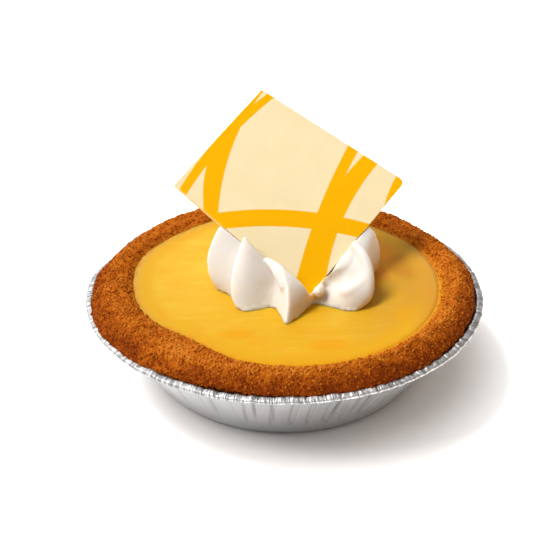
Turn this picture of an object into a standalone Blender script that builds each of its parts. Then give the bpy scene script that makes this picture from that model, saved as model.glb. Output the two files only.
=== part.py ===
"""Single-serve key lime pie in its own foil tart pan.

A fluted foil pan with a rolled rim holds a crumb crust, the crust holds a set lime custard, and on
the custard stands one piped rosette of whipped cream with a thin square of white chocolate pushed
into it, leaning back. The origin is the middle of the pan's underside, +Z is up, and -Y is the side
that the sunk corner of the chocolate square points to.
"""
import math
import random

import bmesh
import bpy
from mathutils import Matrix, Vector, noise

MM = 0.001

# --- driving dimensions, in millimetres ---------------------------------------------------------
FIT_GAP = 0.3          # air left between pieces that touch

# foil pan, a 4 1/4 inch (108 mm) single-serve tart pan
PAN_RADIUS = 54.0      # outside of the rolled rim
RIM_HEIGHT = 22.5      # middle of the rolled rim above the table
BEAD_RADIUS = 0.85     # of the rolled rim
FOIL = 0.3             # wall, with its creases
BASE_RADIUS = 35.15    # flat part of the underside
CORNER_RADIUS = 2.0    # between underside and wall
WALL_LEAN = math.radians(33)
WALL_TOP = 20.7        # where the wall turns out into the flange
FLANGE_WIDTH = 1.8
FLANGE_RISE = 1.1
FLUTES = 52
FLUTE_DEPTH = 0.35     # each way from the plain wall
FLUTES_FADE = (0.8, 4.5, 18.5, 21.0)    # heights between which the flutes come and go
# where the crust hides the rim, because it is pressed down and in: (degrees, spread, drop)
RIM_DENTS = ((146, 29, 2.4), (40, 21, 2.0))
RIM_PULL = 0.55        # the way in as a share of the drop
DENT_START = 12.0      # height on the wall above which it gives way

# crumb crust and custard
COLUMNS = 90           # of faces round both
FLOOR_TOP = 6.0        # upper side of the crumb under the custard
CRUST_TOP = 27.4       # crest of the mound round the custard
CREST_RADIUS = 46.3
LIP_RADIUS = 51.3      # where the crust reaches out over the flange
LIP_SHIFT = 1.3        # further out on the left, where the crust hides the rim
LIP_SHIFT_AT = 185     # degrees
LIP_SHIFT_SPREAD = 38
CRUMB_RELIEF = 0.55    # height of the lumps in the mound
LUMP_SIZE = 6.0        # from one lump to the next
CUSTARD_TOP = 25.2
CUSTARD_RADIUS = 41.0
# where the crumb creeps in over the custard, or stays back: (degrees, spread, reach inwards)
CRUMB_TONGUES = ((120, 60, 1.2), (165, 17, -1.8), (228, 17, 2.4), (300, 55, -1.4), (50, 16, 1.2))

# white chocolate square
SQUARE_THICKNESS = 1.3
SQUARE_TILT = math.radians(36)      # of its face from level
SQUARE_TURN = math.radians(18)      # of the way it leans, from straight back
SUNK_CORNER = Vector((6.0, -13.5, RIM_HEIGHT + 4.3))
# corners in the square's own plane from the sunk one: along it, and up its slope
SQUARE_CORNERS = ((0.0, 0.0), (37.0, 29.9), (4.0, 65.1), (-27.3, 38.8))
SQUARE_ROUNDING = (0.6, 1.6, 0.5, 0.5)
# how far the cream creeps over the face along its lower left edge, at the sunk corner and, as a
# distance off the square, at the left one
CREAM_OVERLAP = (2.6, -1.4)

# whipped cream rosette
CREAM_CENTRE = Vector((2.5, 0.0, 0.0))
CREAM_BASE = CUSTARD_TOP + FIT_GAP
CREAM_ROWS = 20
# one row a ridge, counter-clockwise: direction of its foot, greatest reach from the rosette's
# centre, height above the custard, spread (+) or pinch (-) of the foot, reach of the tip as a
# share, and how far the tip is turned
RIDGES = (
    (190, 24.0, 20.0, -1.6, 0.55, -8),
    (227, 22.8, 16.0, -1.0, 0.43, -34),
    (265, 22.0, 12.5, 2.4, 0.35, -38),
    (331, 24.1, 13.5, -0.4, 0.49, 34),
    (372, 25.4, 14.0, -1.2, 0.49, 20),
    (408, 23.4, 17.0, -1.0, 0.45, 8),
    (445, 22.8, 19.0, -1.0, 0.45, 0),
    (481, 22.8, 20.0, -1.0, 0.45, 0),
    (516, 24.0, 21.0, -1.4, 0.55, 0),
)
# the hollow after each ridge: depth as a share of the reach, its place between the two ridges, and
# how round each flank is (under 1 the ridge is a sharp fold, above 2 it swells)
HOLLOWS = (
    (0.17, 0.45, 0.9, 0.8),
    (0.30, 0.66, 0.9, 0.9),
    (0.44, 0.33, 0.8, 3.6),
    (0.20, 0.45, 1.0, 0.9),
    (0.28, 0.5, 0.9, 0.9),
    (0.28, 0.5, 0.9, 0.9),
    (0.28, 0.5, 0.9, 0.9),
    (0.28, 0.5, 0.9, 0.9),
    (0.26, 0.5, 0.9, 0.9),
)
HOLLOW_STEPS = (10, 12, 18, 10, 9, 9, 9, 9, 9)
HOLLOW_SINK = 0.22     # how much lower the hollows end than the tips


# --- small helpers ------------------------------------------------------------------------------
def clear_scene():
    for obj in list(bpy.data.objects):
        bpy.data.objects.remove(obj)


def new_collection(name):
    collection = bpy.data.collections.new(name)
    bpy.context.scene.collection.children.link(collection)
    return collection


def material(name, colour, roughness, metallic=0.0):
    mat = bpy.data.materials.new(name)
    mat.use_nodes = True
    shader = mat.node_tree.nodes["Principled BSDF"]
    shader.inputs["Base Color"].default_value = (*colour, 1.0)
    shader.inputs["Roughness"].default_value = roughness
    shader.inputs["Metallic"].default_value = metallic
    return mat


def smoothstep(low, high, x):
    t = min(max((x - low) / (high - low), 0.0), 1.0)
    return t * t * (3 - 2 * t)


def mix(a, b, t):
    return a + (b - a) * t


def arc(centre, radius, start, end, steps):
    """Points of a circular arc in the profile plane, angles in degrees."""
    points = []
    for i in range(steps + 1):
        angle = math.radians(mix(start, end, i / steps))
        points.append((centre[0] + radius * math.cos(angle), centre[1] + radius * math.sin(angle)))
    return points


def bump_at(angle, middle, spread):
    """A smooth hump round one direction, angles in degrees."""
    off = (angle - middle + 180) % 360 - 180
    return math.exp(-(off / spread) ** 2)


def mesh_of(obj):
    depsgraph = bpy.context.evaluated_depsgraph_get()
    return bpy.data.meshes.new_from_object(obj.evaluated_get(depsgraph))


def add_part(name, mesh, mat, collection):
    obj = bpy.data.objects.new(name, mesh)
    mesh.materials.clear()
    mesh.materials.append(mat)
    mesh.shade_smooth()
    mesh.set_sharp_from_angle(angle=math.radians(50))
    collection.objects.link(obj)
    return obj


def turned_mesh(name, profile, columns):
    """A closed solid turned about Z from a profile of (radius, height) points in millimetres, which
    starts on the axis on the upper side and ends on the axis on the underside."""
    mesh = bpy.data.meshes.new(name + "_profile")
    points = [(radius * MM, 0.0, height * MM) for radius, height in profile]
    edges = [(i, i + 1) for i in range(len(points) - 1)]
    mesh.from_pydata(points, edges, [])
    obj = bpy.data.objects.new(name + "_profile", mesh)
    bpy.context.scene.collection.objects.link(obj)
    screw = obj.modifiers.new("Turn", "SCREW")
    screw.steps = columns
    screw.render_steps = columns
    screw.use_merge_vertices = True
    screw.merge_threshold = 0.00001
    turned = mesh_of(obj)
    bpy.data.objects.remove(obj)
    return turned


def reshape(mesh, rule):
    """Moves each point by a rule on its direction (degrees), radius and height in millimetres,
    which returns the new radius and height."""
    for vertex in mesh.vertices:
        x, y, z = vertex.co / MM
        radius = math.hypot(x, y)
        angle = math.degrees(math.atan2(y, x)) % 360
        new_radius, new_height = rule(angle, radius, z)
        if radius > 0:
            x, y = x * new_radius / radius, y * new_radius / radius
        vertex.co = Vector((x, y, new_height)) * MM
    mesh.update()


# --- foil pan -----------------------------------------------------------------------------------
def wall_radius(height):
    """Radius of the plain outer wall at a height, above the corner."""
    foot = BASE_RADIUS + CORNER_RADIUS * math.cos(WALL_LEAN)
    foot_height = CORNER_RADIUS * (1 - math.sin(WALL_LEAN))
    return foot + (height - foot_height) * math.tan(WALL_LEAN)


def rim_drop(angle):
    return sum(drop * bump_at(angle, at, spread) for at, spread, drop in RIM_DENTS)


def pan_profile():
    bead = (PAN_RADIUS - BEAD_RADIUS, RIM_HEIGHT)
    corner = (BASE_RADIUS, CORNER_RADIUS)
    lean = math.degrees(WALL_LEAN)
    across = FOIL / math.cos(WALL_LEAN)
    middle = mix(CORNER_RADIUS, WALL_TOP, 0.5)
    top = wall_radius(WALL_TOP)
    flange = top + FLANGE_WIDTH
    inner = [(0.0, FOIL)] + arc(corner, CORNER_RADIUS - FOIL, -90, -lean, 2)
    inner += [(wall_radius(middle) - across, middle), (top - across, WALL_TOP)]
    inner += [(mix(top, flange, 0.45), WALL_TOP + 0.77 * FLANGE_RISE), (flange, WALL_TOP + FLANGE_RISE)]
    rim = arc(bead, BEAD_RADIUS, 150, -110, 7)
    outer = [(flange, WALL_TOP + FLANGE_RISE - FOIL), (mix(top, flange, 0.55), WALL_TOP + 0.45 * FLANGE_RISE)]
    outer += [(top + 0.1, WALL_TOP - FOIL), (wall_radius(middle), middle)]
    outer += arc(corner, CORNER_RADIUS, -lean, -90, 2)
    return inner + rim + outer + [(0.0, 0.0)]


def make_pan(collection):
    columns = 2 * FLUTES
    mesh = turned_mesh("foil_pan", pan_profile(), columns)
    depths = random.Random(7)
    fold = [FLUTE_DEPTH * depths.uniform(0.55, 1.0) * (-1) ** i for i in range(columns)]
    foot, full, fade, gone = FLUTES_FADE

    def flute_and_dent(angle, radius, height):
        on_wall = smoothstep(foot, full, height) * (1 - smoothstep(fade, gone, height))
        column = round(angle / 360 * columns) % columns
        on_rim = smoothstep(wall_radius(WALL_TOP), PAN_RADIUS - BEAD_RADIUS, radius)
        pulled = RIM_PULL * rim_drop(angle) * on_rim
        drop = rim_drop(angle) * smoothstep(DENT_START, WALL_TOP, height)
        return radius + fold[column] * on_wall - pulled, height - drop

    reshape(mesh, flute_and_dent)
    foil = material("foil", (0.62, 0.62, 0.63), 0.34, 1.0)
    return add_part("foil_pan", mesh, foil, collection)


# --- crust and custard --------------------------------------------------------------------------
def tongue(angle):
    return sum(reach * bump_at(angle, at, spread) for at, spread, reach in CRUMB_TONGUES)


def seam_shift(angle, radius, height):
    """How far the seam of crust and custard moves in at a direction; it fades out at the middle
    and towards the pan's wall."""
    wall = min(wall_radius(height), LIP_RADIUS - 1.3)
    near = smoothstep(26, CUSTARD_RADIUS, radius) * (1 - smoothstep(wall - 6, wall - 1.5, radius))
    return tongue(angle) * near


def crust_profile():
    wall_foot = wall_radius(CORNER_RADIUS) - FOIL - FLUTE_DEPTH - FIT_GAP
    wall_head = wall_radius(WALL_TOP) - FOIL - FLUTE_DEPTH - FIT_GAP
    seam = CUSTARD_RADIUS
    rise = CRUST_TOP - CUSTARD_TOP
    inner = [(0.0, FLOOR_TOP), (18.0, FLOOR_TOP), (30.5, FLOOR_TOP), (33.2, FLOOR_TOP + 1.6)]
    inner += [(39.2, 19.5), (seam, CUSTARD_TOP - 0.8), (seam + 0.5, CUSTARD_TOP + 0.1)]
    mound = [
        (seam + 1.3, CUSTARD_TOP + 0.42 * rise),
        (seam + 2.4, CUSTARD_TOP + 0.70 * rise),
        (mix(seam, CREST_RADIUS, 0.72), CUSTARD_TOP + 0.90 * rise),
        (CREST_RADIUS, CRUST_TOP),
        (mix(CREST_RADIUS, LIP_RADIUS, 0.35), CRUST_TOP - 0.35),
        (mix(CREST_RADIUS, LIP_RADIUS, 0.65), CRUST_TOP - 1.25),
        (mix(CREST_RADIUS, LIP_RADIUS, 0.88), CRUST_TOP - 2.45),
        (LIP_RADIUS, CRUST_TOP - 3.6),
        (LIP_RADIUS - 0.3, RIM_HEIGHT + 0.15),
    ]
    outer = [(wall_head + 0.2, WALL_TOP + 0.7), (wall_head, WALL_TOP - 0.2)]
    outer += [(mix(wall_foot, wall_head, 0.5), mix(CORNER_RADIUS, WALL_TOP - 0.2, 0.5))]
    outer += [(wall_foot - 0.3, CORNER_RADIUS), (BASE_RADIUS - 0.6, FOIL + FIT_GAP)]
    return inner + mound + outer + [(16.0, FOIL + FIT_GAP), (0.0, FOIL + FIT_GAP)]


def crust_drop(angle, radius, height):
    """How far the outside of the crust gives way where the rim is pressed down: all the way on the
    wall, and under the lip only as far as the rolled rim needs."""
    if radius < CUSTARD_RADIUS + 1 or height > RIM_HEIGHT + 0.5:
        return 0.0
    if height > RIM_HEIGHT:
        return max(0.0, rim_drop(angle) - BEAD_RADIUS - FIT_GAP)
    return rim_drop(angle) * smoothstep(DENT_START, WALL_TOP, height)


def make_crust(collection):
    mesh = turned_mesh("crust", crust_profile(), COLUMNS)
    mound_start = CUSTARD_RADIUS + 0.6
    lip_start = LIP_RADIUS - 3.3

    def crumb(angle, radius, height):
        side = Vector((math.cos(math.radians(angle)), math.sin(math.radians(angle)), 0.0))
        spot = side * radius / LUMP_SIZE
        on_mound = smoothstep(mound_start, mound_start + 2.5, radius) * smoothstep(24.0, 25.5, height)
        on_lip = smoothstep(lip_start, LIP_RADIUS, radius) * smoothstep(23.2, 24.2, height)
        lump = noise.noise(spot) + 0.5 * noise.noise(spot * 2.3)
        reach = LIP_SHIFT * bump_at(angle, LIP_SHIFT_AT, LIP_SHIFT_SPREAD)
        reach += 0.35 * noise.noise(side * 6)
        new_radius = radius - seam_shift(angle, radius, height) + reach * on_lip
        drop = crust_drop(angle, radius, height)
        return new_radius, height + CRUMB_RELIEF * lump * on_mound - drop

    reshape(mesh, crumb)
    crumbs = material("crumb", (0.45, 0.115, 0.012), 0.8)
    return add_part("crust", mesh, crumbs, collection)


def make_custard(collection):
    edge = CUSTARD_RADIUS - FIT_GAP
    profile = [(0.0, CUSTARD_TOP), (14.0, CUSTARD_TOP), (27.0, CUSTARD_TOP), (36.0, CUSTARD_TOP)]
    profile += [(39.0, CUSTARD_TOP + 0.1), (edge + 0.1, CUSTARD_TOP), (edge - 0.1, CUSTARD_TOP - 0.8)]
    profile += [(38.8, 19.5), (32.8, FLOOR_TOP + 1.8), (30.2, FLOOR_TOP + FIT_GAP)]
    profile += [(15.0, FLOOR_TOP + FIT_GAP), (0.0, FLOOR_TOP + FIT_GAP)]
    mesh = turned_mesh("filling", profile, COLUMNS)
    reshape(mesh, lambda angle, radius, z: (radius - seam_shift(angle, radius, z), z))
    lime = material("lime_custard", (0.93, 0.50, 0.045), 0.35)
    return add_part("filling", mesh, lime, collection)


# --- white chocolate square ---------------------------------------------------------------------
def square_axes():
    """Along the square, up its slope, and out of its face."""
    turn, tilt = SQUARE_TURN, SQUARE_TILT
    out = Vector((math.sin(tilt) * math.sin(turn), -math.sin(tilt) * math.cos(turn), math.cos(tilt)))
    along = Vector((0, 0, 1)).cross(out).normalized()
    return along, out.cross(along), out


def rounded_outline(corners, roundings, grow):
    """An outline moved out by grow, each corner a short arc of three steps."""
    count = len(corners)
    points = []
    for i, corner in enumerate(corners):
        corner = Vector(corner)
        back = (Vector(corners[i - 1]) - corner).normalized()
        ahead = (Vector(corners[(i + 1) % count]) - corner).normalized()
        half = back.angle(ahead) / 2
        centre = corner + (back + ahead).normalized() * roundings[i] / math.sin(half)
        start = corner + back * roundings[i] / math.tan(half) - centre
        end = corner + ahead * roundings[i] / math.tan(half) - centre
        sweep = start.angle_signed(end)
        for step in range(4):
            spoke = start.copy()
            spoke.rotate(Matrix.Rotation(-sweep * step / 3, 2))
            points.append(centre + spoke.normalized() * (roundings[i] + grow))
    return points


def cleared_corners():
    """The part of the face that no cream covers: the lower left edge is moved in."""
    sunk, right, top, left = (Vector(corner) for corner in SQUARE_CORNERS)
    low, high = CREAM_OVERLAP
    on_right = sunk + (right - sunk).normalized() * low
    on_left = left + (top - left).normalized() * high
    return on_right, right, top, on_left


def slab_mesh(outline, low, high):
    """A flat curve with the outline, filled between two distances along the square's face."""
    curve = bpy.data.curves.new("slab", "CURVE")
    curve.dimensions = "2D"
    curve.fill_mode = "BOTH"
    curve.extrude = (high - low) / 2 * MM
    spline = curve.splines.new("POLY")
    spline.points.add(len(outline) - 1)
    for point, spot in zip(spline.points, outline):
        point.co = (spot.x * MM, spot.y * MM, 0.0, 1.0)
    spline.use_cyclic_u = True
    obj = bpy.data.objects.new("slab", curve)
    bpy.context.scene.collection.objects.link(obj)
    mesh = mesh_of(obj)
    bpy.data.objects.remove(obj)
    weld(mesh)
    along, upwards, out = square_axes()
    place = Matrix((along, upwards, out)).transposed().to_4x4()
    place.translation = (SUNK_CORNER + out * (low + high) / 2) * MM
    mesh.transform(place)
    return mesh


def weld(mesh):
    work = bmesh.new()
    work.from_mesh(mesh)
    bmesh.ops.remove_doubles(work, verts=work.verts, dist=0.00001)
    bmesh.ops.recalc_face_normals(work, faces=work.faces)
    work.to_mesh(mesh)
    work.free()


def make_square(collection):
    chocolate = material("white_chocolate", (0.93, 0.79, 0.47), 0.4)
    outline = rounded_outline(SQUARE_CORNERS, SQUARE_ROUNDING, 0.0)
    return add_part("plaque", slab_mesh(outline, -SQUARE_THICKNESS, 0.0), chocolate, collection)


# --- whipped cream ------------------------------------------------------------------------------
def ridge_point(ridge, rise):
    """Direction, radius and height of a ridge, rise running from 0 at its foot to 1 at its tip."""
    direction, reach, height, foot, tip, turn = ridge
    lean = math.radians(90 * rise)
    radius = reach * mix(tip, 1.0, math.cos(lean)) + foot * (1 - smoothstep(0.0, 0.32, rise))
    return direction + turn * rise ** 1.5, radius, height * math.sin(lean)


def hollow_weight(t, place, left, right):
    """0 on the ridges and 1 at the bottom of the hollow between them."""
    if t < place:
        return math.sin(math.pi / 2 * t / place) ** left
    return math.sin(math.pi / 2 * (1 - t) / (1 - place)) ** right


def cream_ring(rise):
    """One closed ring of points round the rosette."""
    ring = []
    for i, ridge in enumerate(RIDGES):
        after = RIDGES[(i + 1) % len(RIDGES)]
        if i == len(RIDGES) - 1:
            after = (after[0] + 360, *after[1:])
        depth, place, left, right = HOLLOWS[i]
        here, there = ridge_point(ridge, rise), ridge_point(after, rise)
        for step in range(HOLLOW_STEPS[i]):
            t = 0.5 - 0.5 * math.cos(math.pi * step / HOLLOW_STEPS[i])
            weight = hollow_weight(t, place, left, right)
            direction = math.radians(mix(here[0], there[0], t))
            radius = mix(here[1], there[1], t) * (1 - depth * weight)
            height = mix(here[2], there[2], t) * (1 - HOLLOW_SINK * weight * rise)
            spot = CREAM_CENTRE + Vector((math.cos(direction), math.sin(direction), 0)) * radius
            spot.z = CREAM_BASE + height
            ring.append(spot)
    return ring


def cream_mesh():
    """The whole rosette as piped: rings up to the tips, a crown that closes over, a flat foot."""
    rings = [cream_ring(row / CREAM_ROWS) for row in range(CREAM_ROWS + 1)]
    crown_height = sum(spot.z for spot in rings[-1]) / len(rings[-1])
    for share in (0.66, 0.33):
        ring = []
        for spot in rings[CREAM_ROWS]:
            inside = CREAM_CENTRE + (spot - CREAM_CENTRE) * share
            inside.z = mix(crown_height, spot.z, share)
            ring.append(inside)
        rings.append(ring)
    middle = CREAM_CENTRE.copy()
    middle.z = crown_height
    foot = CREAM_CENTRE.copy()
    foot.z = CREAM_BASE
    points = [spot for ring in rings for spot in ring] + [middle, foot]
    count = len(rings[0])
    faces = []
    for row in range(len(rings) - 1):
        for i in range(count):
            j = (i + 1) % count
            low, high = row * count, (row + 1) * count
            faces.append((low + i, low + j, high + j, high + i))
    last = (len(rings) - 1) * count
    for i in range(count):
        j = (i + 1) % count
        faces.append((last + i, last + j, len(points) - 2))
        faces.append((j, i, len(points) - 1))
    mesh = bpy.data.meshes.new("cream")
    mesh.from_pydata([spot * MM for spot in points], [], faces)
    return mesh


def cut_from(obj, name, mesh, cutters):
    """Cuts a mesh out of an object with a Boolean that keeps its cutter."""
    cutter = bpy.data.objects.new(name, mesh)
    cutter.hide_render = True
    cutter.display_type = "WIRE"
    cutters.objects.link(cutter)
    cut = obj.modifiers.new(name, "BOOLEAN")
    cut.operation = "DIFFERENCE"
    cut.object = cutter


def make_cream(collection, cutters):
    whipped = material("whipped_cream", (0.92, 0.86, 0.76), 0.5)
    cream = add_part("cream", cream_mesh(), whipped, collection)
    slab = rounded_outline(SQUARE_CORNERS, SQUARE_ROUNDING, FIT_GAP)
    cut_from(cream, "square_slot", slab_mesh(slab, -SQUARE_THICKNESS - FIT_GAP, FIT_GAP), cutters)
    over = rounded_outline(cleared_corners(), SQUARE_ROUNDING, 1.5 * FIT_GAP)
    cut_from(cream, "cleared_face", slab_mesh(over, -SQUARE_THICKNESS / 2, 30.0), cutters)


def main():
    clear_scene()
    pie = new_collection("key_lime_pie")
    cutters = new_collection("cutters")
    make_pan(pie)
    make_crust(pie)
    make_custard(pie)
    make_square(pie)
    make_cream(pie, cutters)


main()
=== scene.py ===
# %% [markdown]
# # A key lime pie in its own foil pan
#
# The solids of this pie are packed as a fixed frame: a foil tart pan, a crumb crust, a set custard,
# a piped rosette of whipped cream and a thin square of white chocolate. This lesson makes the pieces
# that are seen in their place. All of them are food or pressed foil, so nothing on them is quite
# regular, and most of the work goes into the right size of their unevenness. Lengths are written in
# millimetres and turned into metres once, when a mesh is made.

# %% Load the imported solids
import math
import random

import bmesh
import bpy
import numpy as np
from mathutils import Matrix, Vector, noise


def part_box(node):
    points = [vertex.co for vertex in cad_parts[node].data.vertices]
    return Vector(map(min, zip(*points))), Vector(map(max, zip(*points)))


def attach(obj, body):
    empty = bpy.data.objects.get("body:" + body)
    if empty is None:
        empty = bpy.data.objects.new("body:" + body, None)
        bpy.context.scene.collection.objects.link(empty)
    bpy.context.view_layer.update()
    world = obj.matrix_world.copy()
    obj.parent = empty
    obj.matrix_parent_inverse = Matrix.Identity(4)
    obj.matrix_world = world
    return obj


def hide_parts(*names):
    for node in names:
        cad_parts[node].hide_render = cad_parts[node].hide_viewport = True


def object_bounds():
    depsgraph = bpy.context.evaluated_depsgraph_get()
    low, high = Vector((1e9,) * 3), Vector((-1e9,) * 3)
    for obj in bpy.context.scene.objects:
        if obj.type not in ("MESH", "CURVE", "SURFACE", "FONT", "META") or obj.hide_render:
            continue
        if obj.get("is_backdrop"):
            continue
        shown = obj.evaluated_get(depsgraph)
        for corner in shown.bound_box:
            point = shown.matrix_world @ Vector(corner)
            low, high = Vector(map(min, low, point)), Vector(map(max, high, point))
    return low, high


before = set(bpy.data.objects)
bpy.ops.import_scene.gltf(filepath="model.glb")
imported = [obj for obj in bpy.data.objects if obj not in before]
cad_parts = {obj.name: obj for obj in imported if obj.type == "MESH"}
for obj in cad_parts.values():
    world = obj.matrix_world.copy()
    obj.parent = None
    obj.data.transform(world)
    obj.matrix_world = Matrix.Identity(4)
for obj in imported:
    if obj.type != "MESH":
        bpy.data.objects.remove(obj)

MM = 0.001
cad_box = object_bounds()
pan_low, pan_high = (np.array(corner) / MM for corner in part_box("foil_pan"))
custard_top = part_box("filling")[1].z / MM - 0.1
crust_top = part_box("crust")[1].z / MM
print("pan", (pan_high - pan_low).round(1))
print("custard up to", round(custard_top, 2), "crust up to", round(crust_top, 2))

# %% [markdown]
# ## Camera and light
#
# The picture was taken from about a third of a metre away, looking down at about thirty degrees with
# a long lens, so the pan's ellipse stays calm. A camera object looks along its own -Z, so its matrix
# is written from three directions: right, up, and backwards.

# %% Camera
SENSOR_WIDTH, LENS = 36, 76.08    # millimetres
CAMERA_AT = (0.0, -0.279139, 0.186991)
CAMERA_RIGHT = Vector((0.999992, 0.003547, -0.001659))
CAMERA_UP = Vector((-0.000349, 0.502941, 0.864320))
backwards = CAMERA_RIGHT.cross(CAMERA_UP)

camera_data = bpy.data.cameras.new("camera")
camera_data.sensor_width, camera_data.lens = SENSOR_WIDTH, LENS
camera = bpy.data.objects.new("camera", camera_data)
bpy.context.scene.collection.objects.link(camera)
camera.matrix_world = Matrix((CAMERA_RIGHT, CAMERA_UP, backwards)).transposed().to_4x4()
camera.matrix_world.translation = CAMERA_AT
bpy.context.scene.camera = camera
print("looking down", round(math.degrees(math.asin(backwards.z)), 1), "degrees")

# %% [markdown]
# The main light is a window high on the left, small enough for the chocolate to throw a shadow that
# can be seen on the custard. Broad reflectors fill in from the left, from behind and from in front.
# The weak one on the right is golden, because what reaches the shaded side has bounced off custard
# and crust first. Sun lamps stand for all of them: a sun's angle sets how soft its shadow is, and its
# strength doesn't fall off across the table. The standard view transform keeps whites white.

# %% Lamps
WHITE, GOLDEN = (1.0, 1.0, 1.0), (1.0, 0.70, 0.42)
LAMPS = (    # degrees round the pie from +X, above the floor and across; share of light; colour
    ("window", 170, 60, 23, 0.75, WHITE),
    ("low_left", 199, 46, 18, 0.29, WHITE),
    ("behind", 92, 38, 55, 0.12, WHITE),
    ("behind_left", 135, 25, 46, 0.09, WHITE),
    ("in_front", 283, 55, 60, 0.12, WHITE),
    ("right", 8, 36, 50, 0.055, GOLDEN),
)
SKY = 0.03


def add_lamp(name, turn, rise, angle, share, colour):
    """A sun that gives a level white surface this share of full white."""
    data = bpy.data.lights.new(name, "SUN")
    data.energy, data.angle = share * math.pi / math.sin(math.radians(rise)), math.radians(angle)
    data.color = colour
    lamp = bpy.data.objects.new(name, data)
    lamp.rotation_euler = (math.radians(90 - rise), 0, math.radians(turn + 90))
    bpy.context.scene.collection.objects.link(lamp)
    return share


world = bpy.data.worlds.new("light_tent")
world.use_nodes = True
world.node_tree.nodes["Background"].inputs["Color"].default_value = (1.0, 1.0, 1.0, 1.0)
world.node_tree.nodes["Background"].inputs["Strength"].default_value = SKY
bpy.context.scene.world = world
bpy.context.scene.view_settings.view_transform = "Standard"
print("light on a level surface", round(SKY + sum(add_lamp(*lamp) for lamp in LAMPS), 2))

# %% [markdown]
# ## Tools
#
# Two kinds of helper come first. The first kind is for numbers: steps that ease in and out, and humps
# round one direction of the pie. They work on single numbers and on whole arrays.

# %% Number helpers
def mix(a, b, t):
    return a + (b - a) * t


def smooth(low, high, x):
    t = np.clip((x - low) / (high - low), 0.0, 1.0)
    return t * t * (3 - 2 * t)


def hump(angle, middle, spread):
    """A smooth hump round one direction, angles in degrees."""
    off = (angle - middle + 180) % 360 - 180
    return np.exp(-(off / spread) ** 2)


# %% [markdown]
# The second kind is for node trees, which materials and Geometry Nodes share. One method adds any
# node: its kind, then its settings, then what goes into its sockets. A Number wraps a socket, so that
# an expression such as `1 - mask * 0.5` adds its Math nodes by itself.

# %% Numbers in a tree
class Number:
    def __init__(self, nodes, socket):
        self.nodes, self.socket = nodes, socket

    def __abs__(self): return self.nodes.math("ABSOLUTE", self)
    def low(self, other): return self.nodes.math("MINIMUM", self, other)
    def high(self, other): return self.nodes.math("MAXIMUM", self, other)

    def step(self, start, end):
        """0 before start, 1 after end."""
        node = self.nodes.add("ShaderNodeMapRange", {"interpolation_type": "SMOOTHSTEP"},
                              {"Value": self, "From Min": start, "From Max": end})
        return Number(self.nodes, node.outputs[0])


OPERATORS = {"add": "ADD", "sub": "SUBTRACT", "mul": "MULTIPLY", "truediv": "DIVIDE", "pow": "POWER"}
for name, operation in OPERATORS.items():    # each with its reflected form, for 1 - mask
    setattr(Number, f"__{name}__", lambda a, b, kind=operation: a.nodes.math(kind, a, b))
    setattr(Number, f"__r{name}__", lambda a, b, kind=operation: a.nodes.math(kind, b, a))
print(len(OPERATORS), "operators")


# %% Nodes of a tree
class Nodes:
    def __init__(self, tree):
        self.tree = tree

    def add(self, kind, settings=None, inputs=None):
        node = self.tree.nodes.new(kind)
        for name, value in (settings or {}).items():
            if name == "stops":
                ramp = node.color_ramp.elements
                while len(ramp) < len(value):
                    ramp.new(0.5)
                for element, (position, colour) in zip(ramp, value):
                    element.position, element.color = position, (*colour, 1.0)
            else:
                setattr(node, name, value)
        for key, value in (inputs or {}).items():
            self.feed(self.find(node.inputs, key), value)
        return node

    def find(self, sockets, key):
        if isinstance(key, int):
            return sockets[key]
        return next((s for s in sockets if s.identifier == key), None) or sockets[key]

    def feed(self, socket, value):
        value = getattr(value, "socket", value)
        if isinstance(value, bpy.types.NodeSocket):
            self.tree.links.new(value, socket)
        elif socket.type == "RGBA":
            socket.default_value = (*value, 1.0)
        else:
            socket.default_value = value

    def math(self, operation, *values):
        return self.number(self.add("ShaderNodeMath", {"operation": operation}, dict(enumerate(values))))

    def number(self, node, key=0):
        return Number(self, self.find(node.outputs, key))

    def xyz(self, vector):
        node = self.add("ShaderNodeSeparateXYZ", {}, {0: vector})
        return [self.number(node, i) for i in range(3)]

    def vector(self, x, y, z):
        return self.add("ShaderNodeCombineXYZ", {}, {0: x, 1: y, 2: z}).outputs[0]

    def vector_math(self, operation, *values, key=0):
        node = self.add("ShaderNodeVectorMath", {"operation": operation}, {})
        sockets = (node.inputs[0], node.inputs["Scale"]) if operation == "SCALE" else node.inputs
        for socket, value in zip(sockets, values):
            self.feed(socket, value)
        return node.outputs[key]

    def noise(self, at, size, detail=2.0, roughness=0.5):
        """Noise from 0 to 1 whose blotches are about size wide."""
        return self.number(self.add("ShaderNodeTexNoise", {}, {
            "Vector": at, "Scale": 1 / size, "Detail": detail, "Roughness": roughness}))

    def cells(self, at, size):
        """How far a place is from the middle of its cell, in cells about size wide."""
        node = self.add("ShaderNodeTexVoronoi", {}, {"Vector": at, "Scale": 1 / size})
        return self.number(node, "Distance")

    def blend(self, factor, first, second):
        """A colour between two others."""
        node = self.add("ShaderNodeMix", {"data_type": "RGBA"},
                        {"Factor_Float": factor, "A_Color": first, "B_Color": second})
        return self.find(node.outputs, "Result_Color")

    def washes(self, colour, *rows):
        """Thin colours over a colour, one after the other, as rows of share and colour."""
        for share, tint in rows:
            colour = self.blend(share, colour, tint)
        return colour


def spot(*rows):
    """1 in the middle of a soft spot and 0 outside it, from rows of place, middle and half size."""
    return 1 - sum(((place - middle) / half) ** 2 for place, middle, half in rows).low(1.0)


# %% [markdown]
# A material starts from the Principled shader. Its pattern is placed by the object's own
# coordinates, which a Mapping node turns into millimetres, so a size in a material means the same as
# a size in a mesh.

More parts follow.
